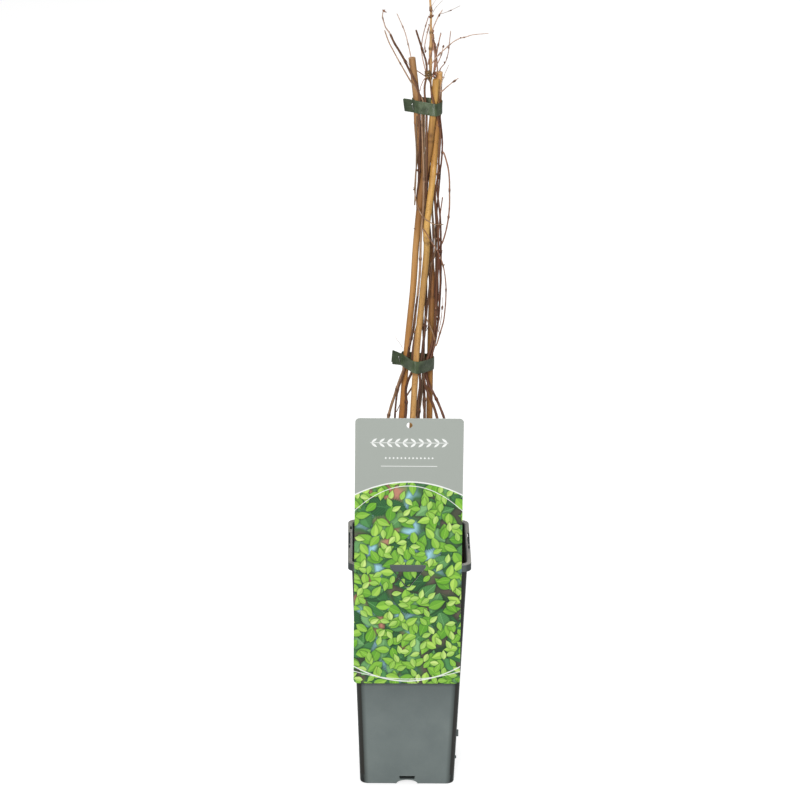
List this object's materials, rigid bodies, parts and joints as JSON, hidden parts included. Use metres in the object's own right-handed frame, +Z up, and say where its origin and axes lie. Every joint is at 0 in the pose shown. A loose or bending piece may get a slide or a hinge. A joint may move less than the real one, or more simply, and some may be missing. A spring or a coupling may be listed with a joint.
{
  "type": "potted dormant hop bine",
  "caption": "Dormant hop bines wound round bamboo canes in a tall square nursery pot, held by tape ties, with a picture card on the rim.",
  "frame": {"origin": "the middle of the pot's flat underside, on the ground", "axes": "+Z up along the canes, -Y towards the front with the picture card, +X to the right seen from the front"},
  "size_m": [0.1246, 0.1159, 0.7681],
  "materials": {
    "pot": "recycled dark grey plastic, slightly shiny",
    "soil": "crumbly dark compost of peat and composted bark",
    "bamboo": "natural honey-coloured cane, waxy",
    "tape": "thin dark green tying tape",
    "wire": "thin staple wire",
    "label": "printed plastic card",
    "bark": "dry brown dormant stem"
  },
  "bodies": {
    "root": {"pot": "pot", "soil": "soil", "cane_left": "bamboo", "cane_right": "bamboo", "cane_front": "bamboo", "tie_upper": "tape", "tie_lower": "tape", "staple_upper": "wire", "staple_lower": "wire", "label": "label", "bine_1": "bark", "bine_2": "bark", "bine_3": "bark", "bine_4": "bark", "bine_5": "bark", "bine_6": "bark", "bine_7": "bark", "bine_8": "bark", "loop_bine": "bark", "side_bine": "bark", "tendril": "bark", "twig_arch": "bark", "twig_bud_back": "bark", "twig_bud_right": "bark", "twig_far_left": "bark", "twig_knot_front": "bark", "twig_knot_left": "bark", "twig_knot_right": "bark", "twig_leader_front": "bark", "twig_leader_left": "bark", "twig_leader_long": "bark", "twig_leader_right": "bark", "twig_leader_top": "bark", "twig_left_back": "bark", "twig_low_right": "bark"}
  },
  "joints": []
}
